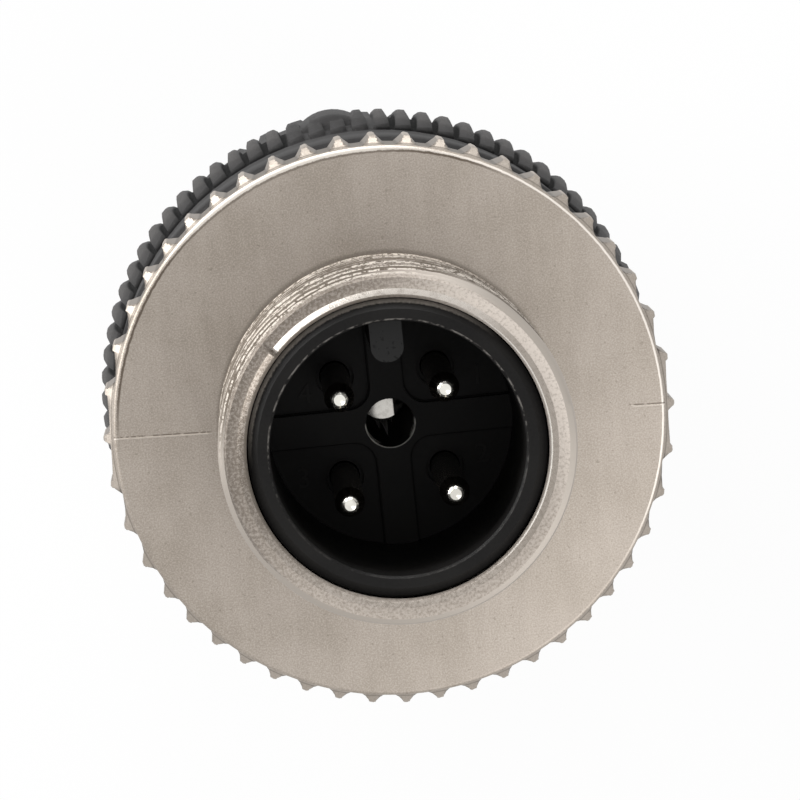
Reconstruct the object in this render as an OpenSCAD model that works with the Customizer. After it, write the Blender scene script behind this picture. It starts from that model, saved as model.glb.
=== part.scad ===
// Straight M12 plug, male, four pins, A-coded, wired in the field through a cable gland.
// It stands on the gland nut's rear face, +Z towards the mating face; the key of the contact cup points to +Y.

/* [Coupling nut] */
// Major diameter of the coupling thread
thread_d = 12; // [11.6:0.1:12.6]
// Length of the threaded sleeve in front of the knurled flange
sleeve_len = 8.5; // [7:0.5:11]
// Length of the cone at the front end of the sleeve
sleeve_lead = 0.4; // [0.2:0.1:0.8]
// Depth of the lead cone below the crest of the thread
lead_depth = 0.25; // [0.1:0.05:0.4]
// Chamfer at the front edge of the nut's bore
bore_chamfer = 0.25; // [0.1:0.05:0.3]
// Radius of the fillet between sleeve and flange
root_fillet = 0.3; // [0.1:0.1:0.6]
// Diameter of the nut over its teeth
nut_d = 20.1; // [18.6:0.1:21]
// Thickness of the knurled flange
flange_t = 3; // [2.6:0.1:4]
// Height of the teeth above the valleys between them
tooth_h = 0.36; // [0.2:0.02:0.5]
// Width of a tooth at its foot
tooth_foot = 0.8; // [0.5:0.05:0.9]
// Width of a tooth at its crest
tooth_crest = 0.3; // [0.15:0.05:0.4]
// Teeth from the die's draw direction to its parting line
quarter_teeth = 12; // [10:1:13]
// Teeth of that quarter that keep one even pitch
even_teeth = 8; // [5:1:9]
// How fast the pitch grows beyond the even teeth
draw_spread = 0.75; // [0.2:0.05:0.9]
// Angle of the parting line from the X axis
parting_turn = -2.3; // [-10:0.1:10]
// Height of the cone at the front ends of the teeth
tooth_bevel = 0.6; // [0.3:0.1:1]
// Radius of the rim between the flat face and the valleys
flange_round = 0.15; // [0.05:0.05:0.3]
// Depth of the groove for the lock ring inside the nut
nut_groove_h = 0.52; // [0.4:0.02:0.8]
// Thickness of the lip behind the lock ring
lip_t = 1; // [0.7:0.1:1.3]

/* [Contact carrier] */
// Outer diameter of the contact cup
cup_d = 10; // [9.6:0.1:10.2]
// Inner diameter of the contact cup
cup_id = 8.55; // [8.3:0.05:8.8]
// Depth of the contact cup
cup_depth = 8.2; // [7:0.1:10]
// Chamfer at the outer edge of the cup
cup_chamfer = 0.32; // [0.1:0.02:0.4]
// Chamfer at the inner edge of the cup
cup_inner_chamfer = 0.08; // [0.04:0.01:0.12]
// Length of the solid core behind the floor of the cup
core_len = 9.4; // [8.5:0.1:11]
// Diameter of the hole along the axis
centre_hole_d = 1.7; // [1.2:0.1:1.9]
// Length of the plug that closes that hole from behind
centre_plug_len = 2.5; // [1.5:0.1:5]
// Width of the cross ribs on the floor
floor_rib_w = 1.15; // [0.9:0.05:1.4]
// Depth of the four pockets between the ribs
pocket_depth = 0.35; // [0.2:0.05:0.6]
// Corner radius of the pockets at the crossing of the ribs
pocket_corner = 0.8; // [0.4:0.1:1]
// Width of the coding key
key_w = 1.1; // [0.8:0.05:1.3]
// Distance from the axis to the inner end of the key
key_reach = 2.8; // [2.6:0.05:3.2]
// Corner radius of the key
key_round = 0.5; // [0.2:0.01:0.55]
// How far the key starts below the rim
key_drop = 1.2; // [0.4:0.1:3]
// Thickness of the collar behind the nut
collar_t = 1.7; // [1.4:0.1:2.2]
// Diameter of the threaded spigot that the housing screws onto
spigot_d = 16; // [15.4:0.1:16.4]
// Length of the spigot
spigot_len = 5.5; // [4.5:0.1:6.5]
// Diameter of the terminal block
block_d = 12.8; // [12.2:0.1:13.4]
// Length of the terminal block behind the core
block_len = 7.4; // [7:0.1:9]
// Diameter of the hollow in the middle of the terminal block
block_hollow_d = 3; // [2.4:0.1:3.4]

/* [Contacts] */
// Diameter of a contact pin
pin_d = 1; // [0.8:0.05:1.1]
// Diameter of the circle through the pins
pin_circle_d = 5; // [4.6:0.1:5.4]
// Length of the tapered end of a pin
pin_taper_len = 1; // [0.6:0.1:1.5]
// Diameter of the rounded tip at the end of that taper
pin_tip_d = 0.66; // [0.4:0.02:0.76]
// How far the pin tips lie below the rim of the cup
pin_recess = 0.4; // [0.2:0.1:2]
// Diameter and depth of the relief round a pin at the floor
pin_relief_d = 1.35; // [1.3:0.05:1.6]
// Depth of that relief
pin_relief_h = 0.3; // [0.1:0.05:0.5]
// Diameter of a terminal barrel
barrel_d = 2.8; // [2.5:0.05:3]
// Diameter of the circle through the terminal barrels
barrel_circle_d = 6.6; // [6.5:0.05:7]
// Diameter of the wire hole in a barrel
wire_d = 1.5; // [1.2:0.05:1.6]
// Depth of the wire hole
wire_depth = 5.6; // [5:0.1:6.2]
// How far the barrels lie inside the rear face of the block
barrel_recess = 0.4; // [0.2:0.1:0.8]

/* [Terminal screws] */
// Diameter of a terminal screw
screw_d = 1.6; // [1.4:0.05:1.8]
// Length of a terminal screw
screw_len = 2.2; // [1.8:0.1:2.4]
// Distance of the screws from the rear face of the block
screw_place = 3; // [2.4:0.1:3.6]
// How far the screws lie inside the wall of the block
screw_recess = 0.6; // [0.2:0.1:0.8]
// Width and depth of the driver slot
slot_w = 0.3; // [0.2:0.05:0.4]
// Depth of the driver slot
slot_depth = 0.5; // [0.3:0.05:0.7]

/* [Lock ring] */
// Thickness of the lock ring
lock_t = 0.7; // [0.5:0.05:0.8]
// Radial width of the lock ring
lock_w = 0.8; // [0.6:0.05:0.9]
// Angle of the gap in the ring
lock_gap = 28; // [15:1:60]

/* [Rear housing] */
// Length of the housing without its neck
housing_len = 28.4; // [27:0.2:34]
// Diameter of the smooth band at the front
band_d = 19.6; // [19.3:0.1:20.2]
// Length of the smooth band
band_len = 5.7; // [4:0.1:7]
// Edge chamfer of the band
band_chamfer = 0.3; // [0.1:0.1:0.6]
// Diameter over the flutes where the grip is widest
grip_d = 20.86; // [20.4:0.02:21.4]
// Length of the fluted grip, which is crowned
grip_len = 7.4; // [6:0.2:10]
// Diameter of the barrel right behind the grip
barrel_front_d = 19.4; // [19.2:0.1:19.8]
// Number of flutes round the grip
flutes = 78; // [40:1:90]
// Angle of the first rib from the X axis
rib_turn = 1.1; // [0:0.1:4.6]
// Depth of the flutes
flute_h = 0.33; // [0.1:0.01:0.4]
// Diameter of the plain barrel at its rear end
tail_d = 18.8; // [18.4:0.1:19.4]
// Diameter of the hollow for the wires
hollow_d = 15.2; // [14.6:0.1:15.8]
// Diameter of the threaded neck for the gland nut
neck_d = 15.6; // [15:0.1:16]
// Wall of the neck
neck_wall = 1.3; // [1.1:0.05:1.6]
// Width of the ledge that stops the clamping cage
ledge_w = 1; // [0.5:0.1:1.4]
// Length of that ledge
ledge_len = 2; // [1:0.1:3]
// Depth of the cage seat below the shoulder of the housing
seat_rise = 2; // [1:0.1:3]
// Length of the marker bump on the barrel
marker_len = 4.4; // [3:0.2:5]
// Width of the marker bump
marker_w = 3.4; // [2:0.1:4]
// Height of the marker bump above the flutes
marker_h = 0.02; // [0.01:0.01:0.1]
// Distance of the marker's middle from the front of the housing
marker_place = 10.3; // [9:0.1:11]
// Angle of the marker from the key
marker_turn = 5; // [-20:1:20]

/* [Sealing ring] */
// Cross-section diameter of the sealing ring
ring_section = 0.9; // [0.7:0.05:1]

/* [Cable gland] */
// Diameter of the way through for the cable
cable_hole_d = 7; // [5.6:0.1:7.6]
// Length of the gland nut
gland_len = 14.5; // [14:0.1:18]
// How far the gland nut's body lies inside the rear end of the housing
gland_inset = 0.5; // [0.4:0.05:0.7]
// Number of grip ribs round the gland nut
gland_ribs = 39; // [20:1:45]
// Height of the grip ribs
gland_rib_h = 0.25; // [0.1:0.05:0.35]
// Diameter of the rear face of the gland nut
gland_rear_d = 14.6; // [13:0.2:16]
// Height of the rounded rear end
gland_dome_h = 5; // [4:0.2:6]
// Straight length of the cable mouth
mouth_len = 2.3; // [1.5:0.1:2.5]
// Flare at the edge of the cable mouth
mouth_flare = 0.5; // [0.2:0.1:0.8]
// Height of the step that carries the thrust ring
gland_step_z = 5.2; // [4.8:0.1:5.6]
// Gap between gland nut and housing when the gland is closed without a cable
gland_gap = 1; // [0.5:0.1:2]
// Thickness of the thrust ring
thrust_t = 1.7; // [1.2:0.1:1.8]
// Gap between the thrust ring and the neck of the housing
neck_gap = 0.4; // [0.3:0.1:1]
// Wall of the clamping cage
cage_wall = 0.9; // [0.7:0.05:1.1]
// Number of fingers of the clamping cage
cage_fingers = 8; // [6:1:12]
// Width of the slots between the fingers
cage_slot_w = 1; // [0.6:0.1:1.4]
// Length of the closed ring of the cage
cage_ring_len = 2.8; // [2:0.1:4]
// Bevel on the finger tips
finger_bevel = 0.55; // [0.3:0.05:0.7]
// Length of the rubber seal
seal_len = 8.2; // [6:0.1:8.4]
// Number of grooves in the bore of the seal
seal_grooves = 3; // [1:1:4]

/* [Fits] */
// Radial play of the nut on the cup
nut_play = 0.08; // [0.05:0.01:0.1]
// Gap between collar and nut, and collar and housing
end_gap = 0.3; // [0.2:0.05:0.5]
// Radial play between screwed pieces
thread_play = 0.06; // [0.04:0.01:0.1]
// Play round the contacts and the terminal screws
contact_play = 0.04; // [0.02:0.01:0.06]
// Play round the collar, the cage, the seal and the thrust ring
loose_play = 0.1; // [0.05:0.01:0.15]

/* [Hidden] */
$fn = 96;

// Overrun of a cut past the face that it opens
over = 0.5;

// Levels along the axis, from the rear face to the mating face
shoulder_z = gland_len + gland_gap;
housing_top = shoulder_z + housing_len;
collar_top = housing_top + end_gap;
nut_rear = collar_top + end_gap;
flange_top = nut_rear + flange_t;
nut_top = flange_top + sleeve_len;
rim_z = nut_top;
floor_z = rim_z - cup_depth;
core_rear = floor_z - core_len;
block_rear = core_rear - block_len;
collar_rear = collar_top - collar_t;
spigot_rear = collar_rear - spigot_len;
screw_z = block_rear + screw_place;
lock_z = nut_rear + lip_t + loose_play;
ledge_z = shoulder_z + seat_rise;
thrust_z = gland_step_z + loose_play;
neck_rear = thrust_z + thrust_t + neck_gap;

// Radii that follow from the diameters above
cup_r = cup_d / 2;
nut_bore_r = cup_r + nut_play;
valley_r = nut_d / 2 - tooth_h;
mouth_r = spigot_d / 2 + ring_section + loose_play;
collar_r = mouth_r - loose_play;
spigot_bore_r = spigot_d / 2 + thread_play;
cage_bore_r = neck_d / 2 - neck_wall;
cage_r = cage_bore_r - loose_play;
seal_r = cage_r - cage_wall - loose_play;
gland_bore_r = neck_d / 2 + thread_play;
lock_r = nut_bore_r + nut_groove_h - 0.15;
ring_seat_z = collar_rear - ring_section - 2 * loose_play;
grip_front = housing_top - band_len;
grip_rear = grip_front - grip_len;

// Points of an arc round centre c, from angle a to angle b, in n steps
function arc(c, r, a, b, n = 6) =
    [for (i = [0 : n]) c + r * [cos(a + (b - a) * i / n), sin(a + (b - a) * i / n)]];

// Ring between two radii
module ring(r_out, r_in, z0, z1) {
    translate([0, 0, z0]) difference() {
        cylinder(r = r_out, h = z1 - z0);
        translate([0, 0, -over]) cylinder(r = r_in, h = z1 - z0 + 2 * over);
    }
}

// Solid of revolution of a list of [radius, height] points
module turned(points) {
    rotate_extrude() polygon(points);
}

/* Outline of the die-cast knurl. The die halves draw along v, and meet on the line v = 0. A tooth flank
   that the die could not leave is filled straight down towards that line. */

tooth_pitch = (90 - draw_spread * pow(quarter_teeth - even_teeth, 1.6)) / quarter_teeth;
crest_round = tooth_h * 0.25;

function tooth_angle(k) =
    k * tooth_pitch + draw_spread * pow(max(0, k - even_teeth), 1.6);

// Point of tooth k at radius r, w to the side, the parting line's side being positive
function on_tooth(k, r, w) =
    let (a = tooth_angle(k)) [r * sin(a) + w * cos(a), r * cos(a) - w * sin(a)];

function foot(k, side) = on_tooth(k, valley_r, side * tooth_foot / 2);
function shoulder(k, side) = on_tooth(k, nut_d / 2 - crest_round, side * tooth_crest / 2);
function crest(k, side) = on_tooth(k, nut_d / 2, side * tooth_crest / 4);

// Height at u of the flank that tooth k turns to the draw direction
function flank_height(k, u) =
    let (a = foot(k, -1), b = shoulder(k, -1)) a[1] + (u - a[0]) * (b[1] - a[1]) / (b[0] - a[0]);

// The valley between tooth k and the next one towards the parting line
function valley(k) =
    let (edge = shoulder(k, 1), next = foot(k + 1, -1))
    foot(k, 1)[0] >= edge[0] ? [foot(k, 1), next]
    : edge[0] < next[0] ? [[edge[0], sqrt(pow(valley_r, 2) - pow(edge[0], 2))], next]
    : [[edge[0], flank_height(k + 1, edge[0])]];

function quarter_outline() = [
    for (k = [0 : quarter_teeth])
        each concat(
            k > 0 ? [shoulder(k, -1), crest(k, -1)] : [],
            k < quarter_teeth ? concat([crest(k, 1), shoulder(k, 1)], valley(k)) : []
        )
];

function mirrored(points, u, v) = [for (p = points) [u * p[0], v * p[1]]];
function backwards(points) = [for (i = [len(points) - 1 : -1 : 0]) points[i]];

module knurl_outline() {
    q = quarter_outline();
    polygon(concat(
        q, mirrored(backwards(q), 1, -1), mirrored(q, -1, -1), mirrored(backwards(q), -1, 1)
    ));
}

module coupling_nut() {
    thread_r = thread_d / 2;
    lead_r = thread_r - lead_depth;
    color("silver") difference() {
        union() {
            // Knurled flange, its rim rounded and its tooth ends bevelled
            intersection() {
                translate([0, 0, nut_rear]) rotate(parting_turn)
                    linear_extrude(height = flange_t) knurl_outline();
                turned([
                    [0, nut_rear],
                    [valley_r - 0.1, nut_rear],
                    [nut_d / 2 + 0.05, nut_rear + tooth_bevel / 2],
                    [nut_d / 2 + 0.05, flange_top - tooth_bevel],
                    each arc([valley_r - flange_round, flange_top - flange_round], flange_round, 0, 90),
                    [0, flange_top],
                ]);
            }
            // Threaded sleeve with its lead cone and root fillet
            turned([
                [0, flange_top - 1],
                [thread_r + root_fillet, flange_top - 1],
                each arc([thread_r + root_fillet, flange_top + root_fillet], root_fillet, 270, 180),
                [thread_r, nut_top - sleeve_lead],
                [lead_r, nut_top],
                [0, nut_top],
            ]);
        }
        translate([0, 0, nut_rear - over]) cylinder(r = nut_bore_r, h = flange_t + sleeve_len + 2 * over);
        translate([0, 0, nut_top - 1.6 * bore_chamfer])
            cylinder(r1 = nut_bore_r, r2 = nut_bore_r + 2 * bore_chamfer, h = 3.2 * bore_chamfer);
        // Groove for the lock ring
        translate([0, 0, lock_z - loose_play])
            cylinder(r = nut_bore_r + nut_groove_h, h = lock_t + 2 * loose_play);
    }
}

module lock_ring() {
    color("dimgray") difference() {
        ring(lock_r, lock_r - lock_w, lock_z, lock_z + lock_t);
        // Gap of the open ring, and two holes for the pliers
        rotate(-90 - lock_gap / 2) translate([0, 0, lock_z - over])
            rotate_extrude(angle = lock_gap) square([lock_r + 1, lock_t + 2 * over]);
        for (side = [-1, 1])
            rotate(-90 + side * (lock_gap / 2 + 5)) translate([lock_r - lock_w / 2, 0, lock_z - over])
                cylinder(d = lock_w * 0.4, h = lock_t + 2 * over);
    }
}

/* Contacts: contact k stands in the quadrant (k - 1) * 90 degrees past the key's right-hand side. */

function contact_angle(k) = 45 - 90 * (k - 1);

// The shape of a contact, made larger all round by play
module contact_body(play) {
    translate([pin_circle_d / 2, 0, core_rear - play - over])
        cylinder(r = pin_d / 2 + play, h = rim_z - core_rear);
}

module contact(k) {
    tip_z = rim_z - pin_recess;
    tip_r = pin_tip_d / 2;
    barrel_top = core_rear - contact_play;
    barrel_rear = block_rear + barrel_recess;
    color("gainsboro") rotate(contact_angle(k)) difference() {
        union() {
            // Pin with its tapered end and rounded tip
            translate([pin_circle_d / 2, 0, 0]) turned([
                [0, barrel_top - over],
                [pin_d / 2, barrel_top - over],
                [pin_d / 2, tip_z - pin_taper_len],
                each arc([0, tip_z - tip_r], tip_r, 0, 90, 5),
            ]);
            // Terminal barrel, set outwards to make room for the screw
            translate([barrel_circle_d / 2, 0, barrel_rear]) cylinder(d = barrel_d, h = barrel_top - barrel_rear);
        }
        // Wire hole with its funnel
        translate([barrel_circle_d / 2, 0, barrel_rear - over]) cylinder(d = wire_d, h = wire_depth + over);
        translate([barrel_circle_d / 2, 0, barrel_rear - 0.01])
            cylinder(d1 = wire_d + 0.6, d2 = wire_d, h = 0.3);
        // Tapped hole for the terminal screw
        translate([barrel_circle_d / 2, 0, screw_z]) rotate([0, 90, 0])
            cylinder(r = screw_d / 2 + contact_play, h = barrel_d);
    }
}

module terminal_screw(k) {
    head_r = block_d / 2 - screw_recess;
    color("silver") rotate(contact_angle(k)) translate([head_r - screw_len, 0, screw_z]) rotate([0, 90, 0])
        difference() {
            turned([
                [0, 0],
                [screw_d / 2 - 0.3, 0],
                [screw_d / 2, 0.3],
                [screw_d / 2, screw_len - 0.1],
                [screw_d / 2 - 0.1, screw_len],
                [0, screw_len],
            ]);
            translate([-slot_w / 2, -screw_d, screw_len - slot_depth]) cube([slot_w, 2 * screw_d, slot_depth + over]);
        }
}

/* Contact carrier */

// One pocket of the floor, in the quadrant of +X and +Y
module pocket_outline() {
    rib = floor_rib_w / 2;
    intersection() {
        circle(d = cup_id);
        translate([rib, rib]) union() {
            translate([pocket_corner, 0]) square(cup_id);
            translate([0, pocket_corner]) square(cup_id);
            translate([pocket_corner, pocket_corner]) circle(pocket_corner);
        }
    }
}

// Coding key: a rib along the cup wall with rounded inner corners
module key_outline() {
    corner_r = min(key_round, key_w / 2 - 0.02);
    intersection() {
        circle(r = cup_r - 0.3);
        translate([0, key_reach]) union() {
            translate([-key_w / 2, corner_r]) square([key_w, cup_r]);
            translate([-key_w / 2 + corner_r, 0]) square([key_w - 2 * corner_r, cup_r]);
            for (side = [-1, 1]) translate([side * (key_w / 2 - corner_r), corner_r]) circle(corner_r);
        }
    }
}

module contact_carrier() {
    color([0.13, 0.13, 0.13]) difference() {
        union() {
            difference() {
                // Outside: cup, waist in the nut, collar, spigot and terminal block
                turned([
                    [0, block_rear],
                    [block_d / 2 - 0.3, block_rear],
                    [block_d / 2, block_rear + 0.3],
                    [block_d / 2, spigot_rear],
                    [spigot_d / 2 - 0.5, spigot_rear],
                    [spigot_d / 2, spigot_rear + 0.5],
                    [spigot_d / 2, collar_rear],
                    [collar_r, collar_rear],
                    [collar_r, collar_top - 0.2],
                    [collar_r - 0.2, collar_top],
                    [cup_r, collar_top],
                    [cup_r, rim_z - cup_chamfer],
                    [cup_r - cup_chamfer, rim_z],
                    [0, rim_z],
                ]);
                // Cup
                translate([0, 0, floor_z]) cylinder(d = cup_id, h = cup_depth + over);
                translate([0, 0, rim_z - cup_inner_chamfer])
                    cylinder(r1 = cup_id / 2, r2 = cup_id / 2 + cup_inner_chamfer + over, h = cup_inner_chamfer + over);
                // Pockets of the floor
                for (q = [0 : 3]) rotate(90 * q) translate([0, 0, floor_z - pocket_depth])
                    linear_extrude(height = pocket_depth + over) pocket_outline();
            }
            // Key
            translate([0, 0, floor_z - pocket_depth - over])
                linear_extrude(height = cup_depth - key_drop + pocket_depth + over) key_outline();
        }
        // Groove for the lock ring
        ring(cup_r + over, lock_r - lock_w - loose_play, lock_z - loose_play / 2, lock_z + lock_t + loose_play / 2);
        // Hole along the axis, wider in the terminal block
        translate([0, 0, block_rear - over]) cylinder(d = centre_hole_d, h = rim_z - block_rear);
        translate([0, 0, block_rear - over]) cylinder(d = block_hollow_d, h = block_len + over);
        for (k = [1 : 4]) rotate(contact_angle(k)) {
            contact_body(contact_play);
            // Relief round the pin
            translate([pin_circle_d / 2, 0, floor_z - pocket_depth - pin_relief_h])
                cylinder(d = pin_relief_d, h = pin_relief_h + over);
            // Chamber of the terminal barrel
            translate([barrel_circle_d / 2, 0, block_rear - over])
                cylinder(r = barrel_d / 2 + contact_play, h = block_len + over);
            // Way in for the screwdriver and the screw
            translate([barrel_circle_d / 2, 0, screw_z]) rotate([0, 90, 0])
                cylinder(r = screw_d / 2 + contact_play, h = block_d);
        }
    }
}

// Plug in the hollow of the terminal block, with a centring point at its rear
module centre_plug() {
    plug_r = block_hollow_d / 2 - contact_play;
    top = core_rear - contact_play;
    color("gainsboro") turned([
        [0, top - centre_plug_len + 0.4],
        [0.3, top - centre_plug_len],
        [plug_r - 0.2, top - centre_plug_len],
        [plug_r, top - centre_plug_len + 0.2],
        [plug_r, top - 0.1],
        [plug_r - 0.1, top],
        [0, top],
    ]);
}

/* Rear housing */

module sealing_ring() {
    section_r = ring_section / 2;
    color([0.1, 0.1, 0.1]) rotate_extrude()
        translate([(spigot_d / 2 + mouth_r) / 2, ring_seat_z + loose_play / 2 + section_r])
            circle(section_r, $fn = 32);
}

// Round bar with n ribs. Each step of a rib's side is [radius, share of the pitch that the rib takes there].
module ribbed(n, steps) {
    pitch = 360 / n;
    sides = concat([for (s = steps) [s[0], -s[1]]], [for (i = [len(steps) - 1 : -1 : 0]) steps[i]]);
    polygon([
        for (i = [0 : n - 1])
            for (p = sides) let (a = pitch * (i + p[1] / 2)) p[0] * [cos(a), sin(a)]
    ]);
}

// Crowned profile of the grip from its front end to its rear end, for the given radii at the middle and the ends
function crown(middle_r, front_r, rear_r, inset) =
    let (half = grip_len / 2 - inset)
    [for (i = [-3 : 3]) let (end_r = i < 0 ? front_r : rear_r)
        [middle_r - (middle_r - end_r) * pow(i / 3, 2), (grip_front + grip_rear) / 2 - half * i / 3]];

module rear_housing() {
    band_r = band_d / 2;
    tip_r = grip_d / 2;
    root_r = tip_r - flute_h;
    rib_inset = 0.15;
    hollow_r = hollow_d / 2;
    ledge_r = cage_bore_r - ledge_w;
    spigot_stop = spigot_rear - over;
    color([0.16, 0.16, 0.16]) difference() {
        union() {
            // Plain barrel, bottom of the flutes and smooth front band
            turned([
                [0, housing_top],
                [band_r - band_chamfer, housing_top],
                [band_r, housing_top - band_chamfer],
                each crown(root_r, band_r, barrel_front_d / 2, 0),
                [tail_d / 2, shoulder_z + 0.6],
                [tail_d / 2 - 0.6, shoulder_z],
                [0, shoulder_z],
            ]);
            // Ribs between the flutes
            intersection() {
                translate([0, 0, grip_rear]) rotate(rib_turn) linear_extrude(height = grip_len) ribbed(flutes, [
                    [tail_d / 2, 0.96],
                    [tip_r - 0.7 * flute_h, 0.62],
                    [tip_r + 0.02, 0.22],
                ]);
                turned([
                    [0, grip_front - rib_inset],
                    each crown(tip_r, band_r + 0.1, barrel_front_d / 2 + 0.1, rib_inset),
                    [0, grip_rear + rib_inset],
                ]);
            }
            // Marker bump that shows where the key is
            rotate(90 + marker_turn) translate([tip_r + marker_h - marker_w / 2, 0, housing_top - marker_place]) {
                translate([0, 0, -marker_len / 2]) cylinder(d = marker_w, h = marker_len);
                for (side = [-1, 1]) translate([0, 0, side * marker_len / 2]) sphere(d = marker_w);
            }
            // Threaded neck
            turned([
                [0, neck_rear],
                [neck_d / 2 - 0.5, neck_rear],
                [neck_d / 2, neck_rear + 0.5],
                [neck_d / 2, shoulder_z + 0.1],
                [0, shoulder_z + 0.1],
            ]);
        }
        // Bore: cage seat, ledge, hollow for the wires, thread, mouth for the collar
        turned([
            [0, neck_rear - over],
            [cage_bore_r, neck_rear - over],
            [cage_bore_r, ledge_z],
            [ledge_r, ledge_z],
            [ledge_r, ledge_z + ledge_len],
            [hollow_r, ledge_z + ledge_len + hollow_r - ledge_r],
            [hollow_r, spigot_stop],
            [spigot_bore_r, spigot_stop],
            [spigot_bore_r, ring_seat_z],
            [mouth_r, ring_seat_z],
            [mouth_r, housing_top + over],
            [0, housing_top + over],
        ]);
    }
}

/* Cable gland */

module clamp_cage() {
    top = ledge_z - loose_play;
    tip = neck_rear + 0.2;
    color("lightgray") difference() {
        turned([
            [cage_r - cage_wall, top],
            [cage_r - cage_wall, tip],
            [cage_r - finger_bevel, tip],
            [cage_r, tip + 1.5 * finger_bevel],
            [cage_r, top],
        ]);
        for (i = [0 : cage_fingers - 1]) rotate(360 / cage_fingers * i)
            translate([0, -cage_slot_w / 2, tip - over])
                cube([cage_r + 1, cage_slot_w, top - cage_ring_len - tip + over]);
    }
}

module cable_seal() {
    bore_r = cable_hole_d / 2;
    top = ledge_z - 2 * loose_play;
    groove_pitch = seal_len / (seal_grooves + 1);
    color([0.08, 0.08, 0.08]) difference() {
        ring(seal_r, bore_r, top - seal_len, top);
        for (i = [1 : seal_grooves]) translate([0, 0, top - groove_pitch * i])
            rotate_extrude() translate([bore_r, 0]) circle(0.3, $fn = 24);
    }
}

module thrust_ring() {
    ring_r = gland_bore_r - loose_play;
    top = thrust_z + thrust_t;
    color("dimgray") turned([
        [seal_r + 0.2, thrust_z],
        [ring_r, thrust_z],
        [ring_r, top - 0.2],
        [ring_r - 0.2, top],
        [cage_r, top],
    ]);
}

module gland_nut() {
    hole_r = cable_hole_d / 2;
    rib_root = tail_d / 2 - gland_inset;
    rear_r = gland_rear_d / 2;
    cone_z = mouth_flare + mouth_len;
    color([0.16, 0.16, 0.16]) difference() {
        union() {
            // Body with the rounded rear end
            turned([
                [0, 0],
                [rear_r, 0],
                for (i = [1 : 8])
                    [rear_r + (rib_root - rear_r) * sin(90 * i / 8), gland_dome_h * (1 - cos(90 * i / 8))],
                [rib_root, gland_len - 0.3],
                [rib_root - 0.3, gland_len],
                [0, gland_len],
            ]);
            // Grip ribs
            intersection() {
                translate([0, 0, gland_dome_h * 0.7]) linear_extrude(height = gland_len - gland_dome_h * 0.7 - 0.6)
                    ribbed(gland_ribs, [[rib_root, 0.62], [rib_root + gland_rib_h, 0.3]]);
                turned([
                    [0, gland_dome_h * 0.7],
                    [rib_root - 1, gland_dome_h * 0.7],
                    [rib_root + gland_rib_h, gland_dome_h + 0.6],
                    [rib_root + gland_rib_h, gland_len - 1.2],
                    [rib_root, gland_len - 0.6],
                    [0, gland_len - 0.6],
                ]);
            }
        }
        // Mouth for the cable, cone, step for the thrust ring, thread
        turned([
            [0, -over],
            [hole_r + mouth_flare + over, -over],
            [hole_r, mouth_flare],
            [hole_r, cone_z],
            [gland_bore_r - 1.2, gland_step_z],
            [gland_bore_r, gland_step_z],
            [gland_bore_r, gland_len + over],
            [0, gland_len + over],
        ]);
    }
}

contact_carrier();
contact(1);  // pin_1
contact(2);  // pin_2
contact(3);  // pin_3
contact(4);  // pin_4
terminal_screw(1);  // terminal_screw_1
terminal_screw(2);  // terminal_screw_2
terminal_screw(3);  // terminal_screw_3
terminal_screw(4);  // terminal_screw_4
centre_plug();
lock_ring();
coupling_nut();
sealing_ring();
rear_housing();
clamp_cage();
cable_seal();
thrust_ring();
gland_nut();
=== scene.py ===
"""Looks for an M12 plug: die-cast coupling nut with its thread, black keyed insert with four pins, fluted
housing and cable gland. Sizes are in millimetres until a mesh is made, and the plug's axis is Z."""

import math

import bmesh
import bpy
from mathutils import Matrix, Vector


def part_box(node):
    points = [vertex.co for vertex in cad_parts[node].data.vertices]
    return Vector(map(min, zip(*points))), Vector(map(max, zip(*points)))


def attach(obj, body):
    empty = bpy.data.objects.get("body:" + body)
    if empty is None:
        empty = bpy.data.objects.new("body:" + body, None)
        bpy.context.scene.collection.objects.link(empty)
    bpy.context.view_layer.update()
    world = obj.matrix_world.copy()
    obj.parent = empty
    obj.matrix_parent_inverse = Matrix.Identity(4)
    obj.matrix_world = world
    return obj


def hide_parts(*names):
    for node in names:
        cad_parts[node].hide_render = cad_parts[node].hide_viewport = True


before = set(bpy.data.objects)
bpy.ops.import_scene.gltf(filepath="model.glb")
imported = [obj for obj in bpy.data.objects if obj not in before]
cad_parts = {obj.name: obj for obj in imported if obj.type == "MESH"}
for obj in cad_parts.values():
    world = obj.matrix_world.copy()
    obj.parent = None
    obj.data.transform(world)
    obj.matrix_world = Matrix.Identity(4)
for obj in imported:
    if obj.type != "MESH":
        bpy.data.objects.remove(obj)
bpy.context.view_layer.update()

MM = 0.001


def span(node):
    """Lowest and highest level of a CAD node, in millimetres."""
    low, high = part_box(node)
    return low.z / MM, high.z / MM


# ---------------------------------------------------------------- node graphs


class Term:
    """The output of a node, which takes part in sums like a number."""

    def __init__(self, graph, socket):
        self.graph, self.socket = graph, socket

    def __add__(self, other):
        return self.graph.math("ADD", self, other)

    __radd__ = __add__

    def __mul__(self, other):
        return self.graph.math("MULTIPLY", self, other)

    __rmul__ = __mul__

    def __sub__(self, other):
        return self.graph.math("SUBTRACT", self, other)

    def __rsub__(self, other):
        return self.graph.math("SUBTRACT", other, self)

    def __truediv__(self, other):
        return self.graph.math("DIVIDE", self, other)


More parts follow.
